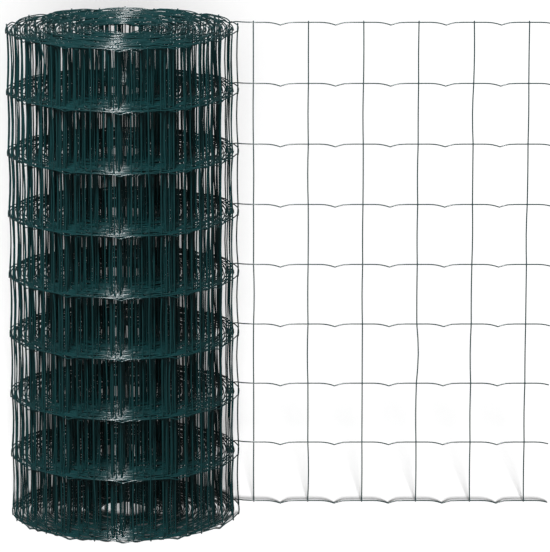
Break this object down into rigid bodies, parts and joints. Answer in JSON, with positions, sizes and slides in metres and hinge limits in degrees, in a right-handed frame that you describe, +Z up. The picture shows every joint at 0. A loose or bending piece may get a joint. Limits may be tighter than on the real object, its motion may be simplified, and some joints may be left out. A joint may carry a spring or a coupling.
{
  "type": "roll of wire fencing",
  "caption": "Roll of crimped, welded wire fencing standing on its end with a loose end paid out beside it; the open bore takes a spindle or carrying bar.",
  "frame": {"origin": "on the axis of the roll, at the level of the floor it stands on", "axes": "+Z up the axis of the roll, +X along the loose end, which runs parallel to X a little behind the axis (+Y is the back)"},
  "size_m": [0.8857, 0.3792, 0.8079],
  "materials": {
    "coated_wire": "semi-gloss dark green plastic coating over galvanised steel wire"
  },
  "bodies": {
    "root": {"roll": "coated_wire", "loose_end": "coated_wire"}
  },
  "joints": []
}
